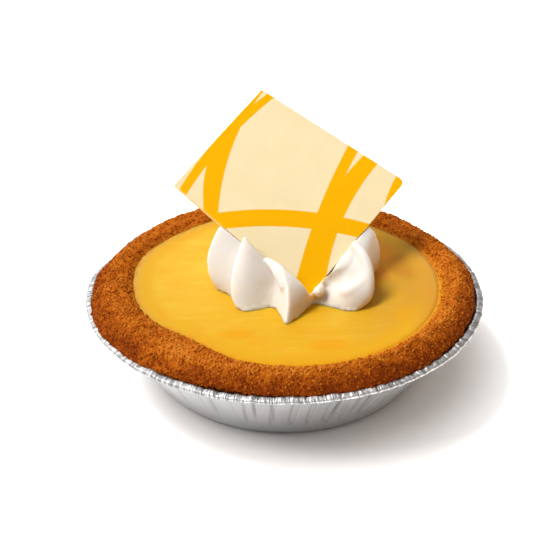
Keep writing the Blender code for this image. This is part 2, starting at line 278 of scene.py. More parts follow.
# %% Material helpers
class Finish(Nodes):
    def __init__(self, name, **constants):
        self.material = bpy.data.materials.new(name)
        self.material.use_nodes = True
        super().__init__(self.material.node_tree)
        self.shader = self.tree.nodes["Principled BSDF"]
        for key, value in constants.items():
            self.feed(self.shader.inputs[key.replace("_", " ")], value)
        coordinates = self.add("ShaderNodeTexCoord").outputs["Object"]
        self.place = self.add("ShaderNodeMapping", {}, {
            "Vector": coordinates, "Scale": (1 / MM,) * 3}).outputs[0]

    def attribute(self, name):
        return self.number(self.add("ShaderNodeAttribute", {"attribute_name": name}), "Fac")

    def facing(self, direction):
        """1 where the skin faces the direction, -1 where it faces away."""
        normal = self.add("ShaderNodeNewGeometry").outputs["Normal"]
        return Number(self, self.vector_math("DOT_PRODUCT", normal, direction, key="Value"))

    def bump(self, height, distance, strength=1.0, normal=None):
        """Relief from a 0 to 1 height, distance deep in millimetres."""
        inputs = {"Height": height, "Distance": distance * MM, "Strength": strength}
        if normal:
            inputs["Normal"] = normal
        return self.add("ShaderNodeBump", {}, inputs).outputs[0]

    def give(self, **sockets):
        for key, value in sockets.items():
            self.feed(self.shader.inputs[key.replace("_", " ")], value)
        print(self.material.name, "has", len(self.tree.nodes), "nodes")
        return self.material


# %% [markdown]
# A round piece is turned: rows of (radius, height) pairs, from the axis on top, over the outside and
# back to the axis underneath. A rule then moves every point, and the ends close in one point each, so
# the skin has no hole. Extra numbers may ride on the points for a material or a tree to read.

# %% Mesh helpers
def keep_piece(name, mesh):
    obj = bpy.data.objects.new(name, mesh)
    bpy.context.scene.collection.objects.link(obj)
    mesh.shade_smooth()
    return obj


def store(mesh, name, values):
    mesh.attributes.new(name, "FLOAT", "POINT").data.foreach_set("value", np.asarray(values, np.float32))


def ring_faces(rows, columns, upwards=False):
    """Quads between rings of points that go down or up, and fans to two poles that come after them."""
    grid = np.arange(rows * columns).reshape(rows, columns)
    after = np.roll(grid, -1, 1)
    faces = np.stack((grid[:-1], grid[1:], after[1:], after[:-1]), 2).reshape(-1, 4).tolist()
    faces += [(grid.size, a, b) for a, b in zip(grid[0].tolist(), after[0].tolist())]
    faces += [(a, grid.size + 1, b) for a, b in zip(grid[-1].tolist(), after[-1].tolist())]
    return [(first, *rest[::-1]) for first, *rest in faces] if upwards else faces


def turned(name, profile, columns, rule, riders=None, start=90):
    rows = np.array(profile[1:-1], float)
    angle = (start + np.arange(columns) * 360 / columns)[None, :].repeat(len(rows), 0)
    radius, height = (rows[:, i:i + 1].repeat(columns, 1) for i in (0, 1))
    new_radius, new_height = rule(angle, radius, height)
    turn = np.radians(angle)
    points = np.stack((new_radius * np.cos(turn), new_radius * np.sin(turn), new_height), 2).reshape(-1, 3)
    poles = [(0, 0, new_height[0].mean()), (0, 0, new_height[-1].mean())]
    mesh = bpy.data.meshes.new(name)
    mesh.from_pydata(np.concatenate((points, poles)) * MM, [], ring_faces(len(rows), columns))
    for rider, values in (riders(angle, radius, height) if riders else {}).items():
        store(mesh, rider, np.append(values.ravel(), [values.ravel()[0], values.ravel()[-1]]))
    print(name, len(mesh.vertices), "points")
    return keep_piece(name, mesh)


def outline_through(points, spacing):
    """A smooth line through the given points, as rows about spacing apart."""
    points = [Vector(p) for p in points]
    line = [points[0]]
    for i in range(len(points) - 1):
        before, a, b = points[max(i - 1, 0)], points[i], points[i + 1]
        beyond = points[min(i + 2, len(points) - 1)]
        steps = max(1, round((b - a).length / spacing))
        for step in range(1, steps + 1):
            t = step / steps
            bend = (-before + 3 * a - 3 * b + beyond) * t ** 3
            bend += (2 * before - 5 * a + 4 * b - beyond) * t ** 2
            line.append((2 * a + (b - before) * t + bend) / 2)
    return [tuple(p) for p in line]


# %% [markdown]
# A Geometry Nodes tree gets named inputs for its sizes. A modifier finds an input by the socket's
# identifier, and the finished mesh is taken from the evaluated object, so that no modifier is left.
# Every tree ends in Realize Instances and Set Material.

# %% Geometry Nodes helpers
class Shaping(Nodes):
    SOCKETS = {float: "NodeSocketFloat", int: "NodeSocketInt"}

    def __init__(self, name, sizes):
        super().__init__(bpy.data.node_groups.new(name, "GeometryNodeTree"))
        self.tree.interface.new_socket("Geometry", in_out="INPUT", socket_type="NodeSocketGeometry")
        self.tree.interface.new_socket("Geometry", in_out="OUTPUT", socket_type="NodeSocketGeometry")
        self.sizes = {}
        for size, value in sizes.items():
            kind = self.SOCKETS[type(value)]
            socket = self.tree.interface.new_socket(size, in_out="INPUT", socket_type=kind)
            self.sizes[size] = (socket.identifier, value)
        start = self.add("NodeGroupInput")
        self.geometry = start.outputs["Geometry"]
        self.size = {size: self.number(start, size) for size in sizes}

    def position(self):
        return self.vector_math("SCALE", self.add("GeometryNodeInputPosition").outputs[0], 1 / MM)

    def riding(self, name):
        node = self.add("GeometryNodeInputNamedAttribute", {"data_type": "FLOAT"}, {"Name": name})
        return self.number(node, "Attribute")

    def random(self, cell, salt):
        """A number from 0 to 1 that is the same all over a cell."""
        place = self.vector(cell, self.size["Seed"] + salt, 0.0)
        node = self.add("ShaderNodeTexWhiteNoise", {"noise_dimensions": "2D"}, {"Vector": place})
        return self.number(node, "Value")

    def move(self, offset):
        node = self.add("GeometryNodeSetPosition", {}, {
            "Geometry": self.geometry, "Offset": self.vector_math("SCALE", offset, MM)})
        self.geometry = node.outputs[0]

    def keep_number(self, name, value, domain="POINT"):
        node = self.add("GeometryNodeStoreNamedAttribute", {"data_type": "FLOAT", "domain": domain},
                        {"Geometry": self.geometry, "Name": name, "Value": value})
        self.geometry = node.outputs[0]

    def run(self, obj, material):
        """Ends the tree, runs it on the object and keeps the result as the object's plain mesh."""
        real = self.add("GeometryNodeRealizeInstances", {}, {"Geometry": self.geometry})
        painted = self.add("GeometryNodeSetMaterial", {}, {"Geometry": real.outputs[0], "Material": material})
        self.add("NodeGroupOutput", {}, {"Geometry": painted.outputs[0]})
        modifier = obj.modifiers.new(self.tree.name, "NODES")
        modifier.node_group = self.tree
        for identifier, value in self.sizes.values():
            modifier[identifier] = value
        return finished(obj)


# %% Plain mesh of a finished piece
def finished(obj):
    """Takes what the modifiers make as the plain mesh of the object."""
    mesh = bpy.data.meshes.new_from_object(obj.evaluated_get(bpy.context.evaluated_depsgraph_get()))
    obj.modifiers.clear()
    obj.data = mesh
    mesh.shade_smooth()
    print(obj.name, sum(len(p.vertices) - 2 for p in mesh.polygons), "triangles")
    return obj


# %% [markdown]
# ## Foil pan
#
# A single-serve tart pan is pressed from a flat disc of foil. The wall is smooth, but the spare foil
# has to go somewhere, so it folds into about fifty upright creases, deep under the rim and running
# out towards the foot. In front, ten larger pleats lean over as well. Then the edge is rolled, and
# there the spare foil crimps every millimetre. The plain pan is turned first, with the dents of its
# rim and the pleats, because each of those has its own place. A Geometry Nodes tree then presses the
# creases and the crimps: both are one rule repeated round the pan, with another chance number each
# time.

# %% Sizes of the pan
WALL_LEAN = math.radians(33)
BASE_RADIUS, CORNER_RADIUS = 35.15, 2.0
FOIL, LEVEL_FOIL = 0.3, 0.36    # its thickness on the base, and measured level through the wall
WALL_TOP = 20.7
RIM_DENTS = ((134, 34, 0.75), (159, 9, 1.15), (44, 17, 1.05), (12, 22, 0.45))    # degrees, spread, drop
ROLL = ((50.6, 21.25), (51.5, 21.8), (51.85, 22.4), (52.05, 22.9), (52.32, 23.12), (52.7, 23.08),
        (53.1, 22.97), (53.5, 22.84), (53.8, 22.66), (53.97, 22.4), (53.95, 22.1), (53.7, 21.83),
        (53.2, 21.68), (52.4, 21.62), (51.5, 21.45), (50.6, 20.9), (49.8, 20.4))
PLEATS = (    # degrees half way up, degrees of lean per millimetre, width, depth
    (246.0, 0.10, 1.4, 0.35), (257.0, 0.14, 0.7, 0.55), (266.0, 0.17, 1.0, 0.75),
    (273.4, 0.12, 2.0, 0.95), (279.0, 0.08, 1.6, 0.80), (286.0, 0.02, 2.8, 1.05),
    (290.3, -0.10, 1.2, 0.65), (300.0, 0.20, 2.6, 0.90), (309.0, 0.10, 2.0, 0.60),
    (318.0, 0.05, 2.6, 0.75),
)
PLEAT_FOOT, PLEAT_TOP = (2.5, 11.0), (19.6, 20.8)    # heights between which a pleat comes and goes
print(len(PLEATS), "pleats", len(RIM_DENTS), "dents in the rim")


# %% Plain pan
def wall_radius(height):
    foot = BASE_RADIUS + CORNER_RADIUS * math.cos(WALL_LEAN)
    return foot + (height - CORNER_RADIUS * (1 - math.sin(WALL_LEAN))) * math.tan(WALL_LEAN)


def rim_drop(angle):
    return sum(drop * hump(angle, at, spread) for at, spread, drop in RIM_DENTS)


def foot_corner(radius):
    return [(BASE_RADIUS + radius * math.cos(turn), CORNER_RADIUS + radius * math.sin(turn))
            for turn in np.linspace(-math.pi / 2, -WALL_LEAN, 5)]


def wall(offset, low, high, rows):
    return [(wall_radius(height) - offset, height) for height in np.linspace(low, high, rows)]


def pan_profile():
    inner = [(0, FOIL), (20, FOIL)] + foot_corner(CORNER_RADIUS - FOIL) + wall(LEVEL_FOIL, 6, WALL_TOP, 4)
    outer = wall(0.0, 19.6, 1.6, 22) + foot_corner(CORNER_RADIUS)[::-1] + [(20, 0), (0, 0)]
    return inner + outline_through(ROLL, spacing=0.27) + outer


def fold(angle, radius, height):
    """The pleats seen in front: each slopes in slowly from the left and comes back at once."""
    deepest = np.zeros_like(radius)
    for at, lean, width, depth in PLEATS:
        past = np.radians(angle - at - lean * (height - 10)) * radius
        shape = smooth(-width, 0, past) * (1 - smooth(0, 0.5, past))
        deepest = np.maximum(deepest, depth * shape)
    on_outside = radius > wall_radius(height) - 0.2
    return deepest * smooth(*PLEAT_FOOT, height) * (1 - smooth(*PLEAT_TOP, height)) * on_outside


def shape_pan(angle, radius, height):
    drop = rim_drop(angle)
    pulled = 0.55 * drop * smooth(wall_radius(WALL_TOP), 53.15, radius)
    return radius - pulled - fold(angle, radius, height), height - drop * smooth(12, WALL_TOP, height)


pan = turned("foil_tart_pan", pan_profile(), columns=1340, rule=shape_pan,
             riders=lambda *at: {"fold": fold(*at)})

# %% [markdown]
# In the tree, a point's direction round the pan is cut into cells. White noise gives each cell the
# place, lean, width and depth of its crease. The crimps are the same idea with many more cells: each
# cell border gets a chance height, and the foil between two borders is flat, which is what makes
# pressed foil sparkle.

# %% Press the foil
press = Shaping("press_foil", {"Creases": 56, "Crease Depth": 0.42, "Crease Width": 0.62,
                               "Crimps": 335, "Crimp Depth": 0.38, "Seed": 4})
x, y, z = press.xyz(press.position())
radius = (x * x + y * y) ** 0.5
turn = press.math("ARCTAN2", y, x) / (2 * math.pi) + 0.5

place = turn * press.size["Creases"]
cell = press.math("FLOOR", place)
middle = 0.25 + 0.5 * press.random(cell, 1) + (press.random(cell, 2) - 0.5) * (0.7 - z / 28)
away = abs(place - cell - middle) * (2 * math.pi * radius / press.size["Creases"])
groove = 1 - (away / (press.size["Crease Width"] * (0.5 + press.random(cell, 3)))).low(1.0)
run_out = press.random(cell, 4) * 9
strength = press.random(cell, 5) ** 0.9 * z.step(run_out, run_out + 8) * (1 - z.step(20.3, 21.2))
on_wall = z.step(2.0, 9.0) * (1 - z.step(18.5, 20.8))
panel = press.math("SINE", (place - cell) * math.pi) * (press.random(cell, 6) - 0.35) * on_wall
inwards = groove * strength * press.size["Crease Depth"] - panel * 0.40

notch = turn * press.size["Crimps"]
border = press.math("FLOOR", notch)
beyond = press.math("MODULO", border + 1, press.size["Crimps"])
share = notch - border


def crimp(salt):
    """A chance height at each cell border, with flat foil between."""
    here, there = press.random(border, salt), press.random(beyond, salt)
    return here + (there - here) * share - 0.5


on_rim = radius.step(50.4, 51.9) * (1 - 0.45 * radius.step(52.7, 53.5))
lift = crimp(7) * on_rim * press.size["Crimp Depth"]
push = crimp(8) * on_rim * press.size["Crimp Depth"] - inwards
# the crease depth is kept for the painted shade in the creases
press.keep_number("crease", (groove * strength).high(press.riding("fold")))
press.move(press.vector(x / radius.high(1.0) * push, y / radius.high(1.0) * push, lift))
print(len(press.tree.nodes), "nodes press the foil")

# %% [markdown]
# Foil is bare metal, so the shader is fully metallic. What the eye reads as aluminium is the fine
# waviness that breaks up the reflections: a broad one on the wall, and on the rim a finer one drawn
# out across the roll, whose coordinates follow the circle. Some light is painted into its colour as
# well: painted shade on the side by the window and in the creases, and a painted glint on the rim.

# %% Foil finish
foil = Finish("rolled_foil", Metallic=1.0)
fx, fy, fz = foil.xyz(foil.place)
around = (fx * fx + fy * fy) ** 0.5
ring = foil.vector(fx / around.high(1.0) * 53, fy / around.high(1.0) * 53, around * 0.15)
ripple = foil.noise(foil.place, 2.6, 3.0, 0.55)
crinkle = foil.noise(ring, 0.55, 2.0, 0.6)
rim_share = fz.step(20.2, 21.6)
# painted highlight: the rim's colour sparkles with the crinkle and grows lighter towards the right
painted_glint = crinkle.step(0.36, 0.66) * 0.38 + 0.21 + (fx / 50).step(-0.9, 0.9) * 0.15
colour = foil.washes(
    foil.blend(foil.noise(foil.place, 5.0), (0.565, 0.568, 0.573), (0.635, 0.638, 0.643)),
    # painted shade: the side by the window is darker, to hold down its bright reflection
    ((fx / -40).step(0.2, 0.8) * 0.5, (0.48, 0.482, 0.486)),    # the side by the window
    (rim_share, foil.vector(painted_glint, painted_glint, painted_glint)),
    # painted shade: the creases are darker
    (foil.attribute("crease").low(0.85), (0.31, 0.30, 0.29)))
relief = foil.bump(crinkle, 0.42, rim_share, foil.bump(ripple, 0.10, 0.35))
foil.give(Base_Color=colour, Roughness=0.40 + 0.08 * rim_share + 0.08 * ripple, Normal=relief)
press.run(pan, foil.material)

# %% [markdown]
# ## Crumb crust
#
# The crust is crumb and butter pressed into the pan by hand: a mound that starts under the custard,
# rises to a crest and falls to a lip over the rim. The mound is turned with the same lumps as the
# solid underneath. Two numbers ride on its points: how far a point is outside the seam, and how free
# it is to crumble. Near the seam the crumb is soaked with custard and stays smooth.

# %% Sizes of the crust
CUSTARD_RADIUS, CREST_RADIUS, LIP_RADIUS = 41.0, 46.3, 51.3
TONGUES = (    # where the crust reaches further in over the custard: degrees, spread, reach
    (120, 60, 1.2), (165, 17, -1.1), (233, 17, 3.0), (298, 50, -2.1), (50, 16, 1.2),
)
MOUND = ((40.5, 24.8), (41.2, 25.3), (42.3, 26.05), (43.4, 26.74), (44.8, 27.18),
         (CREST_RADIUS, crust_top - 0.2), (48.05, 27.05), (49.55, 26.15), (50.7, 24.95),
         (LIP_RADIUS, 23.8), (51.35, 22.9), (50.7, 22.1), (49.2, 21.4))
print("crust from", MOUND[0][0], "to", LIP_RADIUS, "millimetres out")


# %% Seam, lip and sag of the crust
def seam_shift(angle, radius, height):
    """How far the seam moves in at a direction; it fades out inwards and towards the pan's wall."""
    wall_at = np.minimum(wall_radius(height), LIP_RADIUS - 1.3)
    near = smooth(26, CUSTARD_RADIUS, radius) * (1 - smooth(wall_at - 6, wall_at - 1.5, radius))
    return sum(reach * hump(angle, at, spread) for at, spread, reach in TONGUES) * near


def lumps(angle, radius, size):
    flat = [noise.noise(spot) + 0.5 * noise.noise(spot * 2.3) for spot in
            (Vector((r * math.cos(a), r * math.sin(a), 0)) / size
             for a, r in zip(np.radians(angle).ravel().tolist(), radius.ravel().tolist()))]
    return np.array(flat).reshape(angle.shape)


def lip_reach(angle):
    """How far the lip spreads over the rim."""
    ragged = 0.35 * lumps(angle, np.full_like(angle, 6), 1)
    return 1.7 * hump(angle, 210, 28) + 1.0 * hump(angle, 296, 34) + ragged


def crust_sag(angle, radius, height):
    """How far the mound is lower at the back and on the left than in front."""
    back = smooth(0.0, 0.5, np.sin(np.radians(angle)))
    crest = smooth(42.5, 46.0, radius)
    behind = back * (0.45 * crest + 0.95 * smooth(46.0, 49.5, radius))
    return (behind + 0.75 * hump(angle, 180, 42) * crest) * smooth(22.0, 25.5, height)


# %% Plain crust
def crust_profile():
    inner = [(0, 6), (18, 6), (30.5, 6), (33.2, 7.6), (39.2, 19.5), (40.2, 24.0)]
    outer = [(48.7, 20.5), (42.4, 11.2), (35.8, 2.0), (34.5, 0.6), (16, 0.6), (0, 0.6)]
    return inner + outline_through(MOUND, spacing=0.25) + outer


def shape_crust(angle, radius, height):
    on_mound = smooth(41.6, 44.1, radius) * smooth(24.0, 25.5, height)
    on_lip = smooth(48.0, LIP_RADIUS, radius) * smooth(21.9, 23.2, height)
    drop = rim_drop(angle)
    under = np.where(height > 22.5, np.maximum(drop - 1.15, 0), drop * smooth(12, WALL_TOP, height))
    under = np.where((height > 23.0) | (radius < 42), 0, under)
    rise = 0.45 * lumps(angle, radius, 6.0) * on_mound - crust_sag(angle, radius, height) - under
    return radius - seam_shift(angle, radius, height) + lip_reach(angle) * on_lip, height + rise


def crust_riders(angle, radius, height):
    front = hump(angle, 295, 60)
    off_the_seam = smooth(40.6 + 0.5 * front, 41.6 + 2.2 * front, radius)
    return {"outside": radius - CUSTARD_RADIUS,
            "crumbly": smooth(21.8, 22.6, height) * (0.3 + 0.7 * off_the_seam)}


crust = turned("crumb_crust", crust_profile(), columns=1080, rule=shape_crust, riders=crust_riders)

# %% [markdown]
# The crumble itself is noise at the size of the crumbs, pushed along the surface's normal: cells of
# two sizes for the grains, and a little noise so that no two are alike. The tree also keeps the
# height it added as an attribute, because the low places are painted darker, as the shade in them.

# %% Crumble the crust
crumble = Shaping("crumble", {"Grain Size": 0.72, "Grain Height": 0.36,
                              "Clump Size": 1.8, "Clump Height": 0.24, "Seed": 3})
at = crumble.position()
wander = crumble.add("ShaderNodeTexNoise", {}, {"Vector": at, "Scale": 1.1}).outputs["Color"]
bent = crumble.vector_math("ADD", at, crumble.vector_math("SCALE", wander, 0.9))
grains = 0.42 - crumble.cells(bent, crumble.size["Grain Size"])
clumps = 0.42 - crumble.cells(bent, crumble.size["Clump Size"])
dust = crumble.noise(at, 0.5, 2.0) - 0.5
rise = grains * crumble.size["Grain Height"] + clumps * crumble.size["Clump Height"] + dust * 0.25
crumble.keep_number("rise", rise * crumble.riding("crumbly"))
normal = crumble.add("GeometryNodeInputNormal").outputs[0]
crumble.move(crumble.vector_math("SCALE", normal, crumble.riding("rise")))
print(len(crumble.tree.nodes), "nodes crumble the crust")

# %% [markdown]
# Baked crumb has no single brown. Each grain takes its own tone, the low places get a painted shade,
# the outside of the crust is toasted most and painted darker still in front, as shade on its outer
# face, and along the seam the custard has soaked in and left a golden, smoother band, painted lighter
# on the front right. The loose crumbs share the same recipe with a tone of their own.

# %% Crumb finish
DARK, BROWN, GOLD = (0.175, 0.028, 0.002), (0.418, 0.099, 0.005), (0.66, 0.248, 0.028)
WET_DARK, WET_SHADED, WET_LIT = (0.42, 0.125, 0.007), (0.56, 0.210, 0.014), (0.63, 0.275, 0.013)
PALER = ((-31.0, -41.5, 9, 6, 0.15), (1.3, -48.3, 13, 4, 0.09))    # x, y, half sizes, gain in tone


def crumb_finish(name, loose):
    crumb = Finish(name, Roughness=0.75, Specular_IOR_Level=0.03)
    cx, cy = crumb.xyz(crumb.place)[:2]
    speckle = crumb.noise(crumb.place, 0.42, 2.0, 0.6)
    blotch = crumb.noise(crumb.place, 2.4, 3.0)
    broad = crumb.noise(crumb.place, 11.0, 2.0)
    rise = crumb.attribute("tone") if loose else crumb.attribute("rise") * 1.25 + 0.50
    outside = crumb.attribute("outside")
    front = (cy / -50).step(-0.6, 1.0)
    # toasting all round the outside, and in front painted shade on the outer face
    toasted_and_shaded = outside.step(6.5, 10.2) * (0.35 + 0.65 * front) * 0.36 + outside.step(5.0, 8.0) * 0.06
    # painted shade: on the crust, rise makes the low places of the crumb darker
    tone = rise * 0.62 + (speckle - 0.5) * 0.75 + (blotch - 0.5) * 0.55 + (broad - 0.5) * 0.30 + 0.21
    tone = tone - toasted_and_shaded + front * 0.06 - (cx / -50).step(0.5, 1.1) * 0.06
    for px, py, wide, deep, gain in PALER:
        tone = tone + spot((cx, px, wide), (cy, py, deep)) * gain
    stops = ((0.12, DARK), (0.50, BROWN), (0.92, GOLD))
    colour = crumb.add("ShaderNodeValToRGB", {"stops": stops}, {"Fac": tone}).outputs[0]
    if not loose:
        ragged = outside + (blotch - 0.5) * 1.6 + (speckle - 0.5) * 1.2
        # painted light: lit and shaded copies of the wet colour, lighter on the front right
        lit = ((cx * 0.64 - cy * 0.77) / 45).step(0.1, 0.9)
        soaked = 1 - ragged.step(-0.4, 1.6 + 2.2 * lit)
        raised = (rise * 0.6 + speckle * 0.6 - 0.1).step(0.15, 0.85)
        wet_tone = (raised + (1 - ragged.step(-0.6, 1.8)) * lit).low(1.0)
        wet = crumb.blend(wet_tone, WET_DARK, crumb.blend(lit, WET_SHADED, WET_LIT))
        colour = crumb.blend(soaked * 0.85, colour, wet)
    grit = crumb.noise(crumb.place, 0.28, 2.0, 0.7)
    return crumb.give(Base_Color=colour, Normal=crumb.bump(grit, 0.16, 0.7))


crumble.run(crust, crumb_finish("baked_crumb", False))

# %% [markdown]
# Single crumbs that stand off the surface are instances: points are scattered on the crumbled mound
# where it is free to crumble, and each point gets one of a few lopsided twenty-sided grains, turned
# and scaled by chance. The tone is kept on the instances before they are made real, so that every
# grain keeps one tone all over.

# %% Grains to scatter
def settle(work, mesh):
    """Writes a bmesh into a mesh and lets the bmesh go."""
    work.to_mesh(mesh)
    work.free()
    return mesh


grains_shelf = bpy.data.collections.new("grain_shapes")
chance = random.Random(11)
for i in range(6):
    work = bmesh.new()
    bmesh.ops.create_icosphere(work, subdivisions=1, radius=1.0)
    for vertex in work.verts:
        vertex.co *= chance.uniform(0.72, 1.22)
        vertex.co.z *= 0.85
    shape = settle(work, bpy.data.meshes.new(f"grain_shape_{i}"))
    grains_shelf.objects.link(bpy.data.objects.new(shape.name, shape))

# %% Scatter the crumbs
def chance_value(tree, kind, smallest, largest, seed):
    ends = {"FLOAT": ("Min_001", "Max_001", "Value_001"), "FLOAT_VECTOR": ("Min", "Max", "Value")}[kind]
    node = tree.add("FunctionNodeRandomValue", {"data_type": kind},
                    {ends[0]: smallest, ends[1]: largest, "Seed": seed})
    return tree.find(node.outputs, ends[2])


def scatter(name, sizes, material):
    tree = Shaping(name, sizes)
    size = tree.size
    density = size["Per Square Millimetre"] * 1e6 * (tree.riding("crumbly") - 0.5).high(0.0) * 2
    spread = tree.add("GeometryNodeDistributePointsOnFaces", {"distribute_method": "RANDOM"},
                      {"Mesh": tree.geometry, "Density": density, "Seed": size["Seed"]})
    shapes = tree.add("GeometryNodeCollectionInfo", {}, {
        "Collection": grains_shelf, "Separate Children": True, "Reset Children": True})
    placed = tree.add("GeometryNodeInstanceOnPoints", {}, {
        "Points": spread.outputs["Points"], "Instance": shapes.outputs[0], "Pick Instance": True,
        "Rotation": chance_value(tree, "FLOAT_VECTOR", (0.0,) * 3, (math.tau,) * 3, 1),
        "Scale": chance_value(tree, "FLOAT", size["Smallest"] * MM, size["Largest"] * MM, 2)})
    tree.geometry = placed.outputs[0]
    tree.keep_number("tone", chance_value(tree, "FLOAT", 0.05, 1.0, 3), "INSTANCE")
    return tree.run(keep_piece(name, crust.data.copy()), material)


loose_crumb = crumb_finish("loose_crumb", True)
fine_crumbs = scatter("fine_crumbs", {"Per Square Millimetre": 2.1, "Smallest": 0.16,
                                      "Largest": 0.38, "Seed": 5}, loose_crumb)
coarse_crumbs = scatter("coarse_crumbs", {"Per Square Millimetre": 0.16, "Smallest": 0.32,
                                          "Largest": 0.50, "Seed": 9}, loose_crumb)

# %% [markdown]
# ## Custard
#
# Set lime custard has a skin: flat and satin, with faint swirls where it was poured and a browned
# line where it meets the crust. It is turned with the same seam as the crust and reaches a little
# under the crumb, so the visible border is wherever the crumbled slope comes out of it.

# %% Custard
def custard_profile():
    top = [(2, 0), (14, 0), (30, 0), (38, 0.03), (40.2, 0.12), (41.2, 0.02), (41.7, -0.4)]
    under = [(40.4, 23.9), (38.9, 19.4), (32.8, 7.8), (30.2, 6.3), (15, 6.3), (0, 6.3)]
    top = [(radius, custard_top + rise) for radius, rise in top]
    return [(0, custard_top)] + outline_through(top, spacing=0.8) + under


def shape_custard(angle, radius, height):
    on_top = smooth(24.9, 25.1, height) * (1 - smooth(37, 40, radius))
    return radius - seam_shift(angle, radius, height), height + 0.07 * lumps(angle, radius, 13.0) * on_top


def custard_riders(angle, radius, height):
    return {"inside": CUSTARD_RADIUS - radius}


custard = turned("lime_custard", custard_profile(), columns=420, rule=shape_custard, riders=custard_riders)

# %% [markdown]
# Custard is yellow with a little red in it, never green, and light goes a few millimetres into it,
# red furthest. Its colour is laid on in thin washes: paler streaks from the spoon, a few deeper
# spots, painted shade on the side away from the window and darker still at its far edge, a painted
# shadow beside the cream with a warmer painted tint in the shadow behind it, and three rings that
# get browner towards the crust.

# %% Custard finish
DEEPER = (    # x, y, half sizes
    (4.0, -16.6, 9, 2.5), (11.3, -33.2, 6, 4), (32.4, -19.1, 5, 6), (-12.5, -28.6, 6, 2.5),
)
lime = Finish("lime_custard", Specular_IOR_Level=0.06, Subsurface_Weight=0.8,
              Subsurface_Radius=(2.8 * MM, 1.0 * MM, 0.2 * MM), Subsurface_Scale=1.0)
lx, ly, lz = lime.xyz(lime.place)
poured = lime.vector(lx * 0.22, ly, lz)
swirl = lime.noise(poured, 3.2, 4.0, 0.6)
cloud = lime.noise(lime.place, 9.0, 3.0)
fine = lime.noise(poured, 0.7, 2.0)
streak = lime.noise(lime.vector(lx * 0.20 + ly * 0.1, ly - lx * 0.12, lz), 1.9, 3.0, 0.6)
inside = lime.attribute("inside")
ragged = inside + (lime.noise(lime.place, 2.2, 3.0) - 0.5) * 1.8
front = ((lx * 0.26 - ly * 0.97) / 40).step(-0.4, 0.9)
patches = sum(spot((lx, px, wide), (ly, py, deep)) for px, py, wide, deep in DEEPER)
# painted shadow: the custard in the shadow behind the cream is painted more orange
shadow_tint_behind_cream = spot((lx, 21, 14), (ly, 11, 18))
# painted shadow: the custard just right of the cream is painted darker
painted_shadow_beside_cream = spot((lx, 34, 6.5), (ly, 7, 9))
RINGS = (    # starts and ends this far inside the seam; colour on the left and in front
    (2.8, 7.5, inside, (0.590, 0.315, 0.012), (0.615, 0.318, 0.008)),
    (0.3, 2.8, ragged, (0.545, 0.300, 0.045), (0.600, 0.288, 0.006)),
    (-0.8, 1.2, ragged, (0.430, 0.165, 0.012), (0.590, 0.250, 0.006)),
)
colour = lime.washes(
    lime.blend(front, (0.645, 0.400, 0.034), (0.648, 0.355, 0.014)),
    ((swirl * 0.7 + cloud * 0.6 - 0.15).step(0.25, 0.75) * 0.6, (0.605, 0.292, 0.004)),
    (streak.step(0.50, 0.72) * 0.5, (0.665, 0.420, 0.050)),
    # painted shade on the side away from the window
    ((lx / 40).step(0.2, 1.0) * 0.8, (0.505, 0.250, 0.018)),
    (patches.step(0.0, 0.8) * 0.7, (0.640, 0.285, 0.003)),
    (shadow_tint_behind_cream.step(0.0, 0.8) * 0.8, (0.700, 0.262, 0.006)),
    (painted_shadow_beside_cream.step(0.0, 0.8) * 0.75, (0.440, 0.176, 0.006)),
    *((1 - measure.step(near, far), lime.blend(front, on_left, in_front))
      for near, far, measure, on_left, in_front in RINGS),
    # painted shade, darker still at the far right
    ((lx / 40).step(0.75, 1.0) * 0.5, (0.440, 0.190, 0.030)))
relief = lime.bump(streak, 0.12, 0.5, lime.bump(swirl, 0.14, 0.35))
custard.data.materials.append(lime.give(
    Base_Color=colour, Roughness=0.34 + 0.16 * fine, Normal=lime.bump(fine, 0.03, 0.4, relief)))

# %% [markdown]
# ## White chocolate square
#
# The square is cut from a sheet about a millimetre thick, with three sharp corners and one blunted
# one, and it was printed with bowed yellow stripes while it still lay flat. So it is modelled flat as
# well, in its own plane, and then placed by a matrix. Its flat coordinates are kept as a UV map in
# millimetres: the stripes are drawn in them, and they would not follow the lean otherwise.

# %% Place of the square
SQUARE_THICKNESS = 1.3
tilt, turned_by = math.radians(36), math.radians(18)    # leaning back, and turned to the right
out_of_face = Vector((math.sin(tilt) * math.sin(turned_by), -math.sin(tilt) * math.cos(turned_by),
                      math.cos(tilt)))
along = Vector((0, 0, 1)).cross(out_of_face).normalized()
up_face = out_of_face.cross(along)
SUNK_CORNER = Vector((6.0, -13.5, 26.8))
SQUARE_CORNERS = ((0.0, 0.0), (37.0, 29.9), (4.0, 65.1), (-27.3, 38.8))
SQUARE_ROUNDING = (0.6, 1.6, 0.5, 0.5)
BROKEN_EDGE = (    # in from the outline, out of the face
    (0.30, 0.0), (0.10, 0.0), (0.03, -0.03), (0.0, -0.12), (0.0, -0.65), (0.02, -1.18),
    (0.14, -SQUARE_THICKNESS), (0.40, -SQUARE_THICKNESS),
)


def on_square(flat_x, flat_y, off=0.0):
    """A point of the square's plane, off millimetres out of its face, in the pie's frame."""
    return SUNK_CORNER + along * flat_x + up_face * flat_y + out_of_face * off


def rounded_outline(corners, roundings, grow=0.0, steps=8):
    points = []
    for i, corner_at in enumerate(Vector(c) for c in corners):
        back = (Vector(corners[i - 1]) - corner_at).normalized()
        ahead = (Vector(corners[(i + 1) % len(corners)]) - corner_at).normalized()
        half = back.angle(ahead) / 2
        centre = corner_at + (back + ahead).normalized() * roundings[i] / math.sin(half)
        spoke = corner_at + back * roundings[i] / math.tan(half) - centre
        sweep = spoke.angle_signed(corner_at + ahead * roundings[i] / math.tan(half) - centre)
        for step in range(steps + 1):
            arm = spoke.copy()
            arm.rotate(Matrix.Rotation(-sweep * step / steps, 2))
            points.append(centre + arm.normalized() * (roundings[i] + grow))
    return points


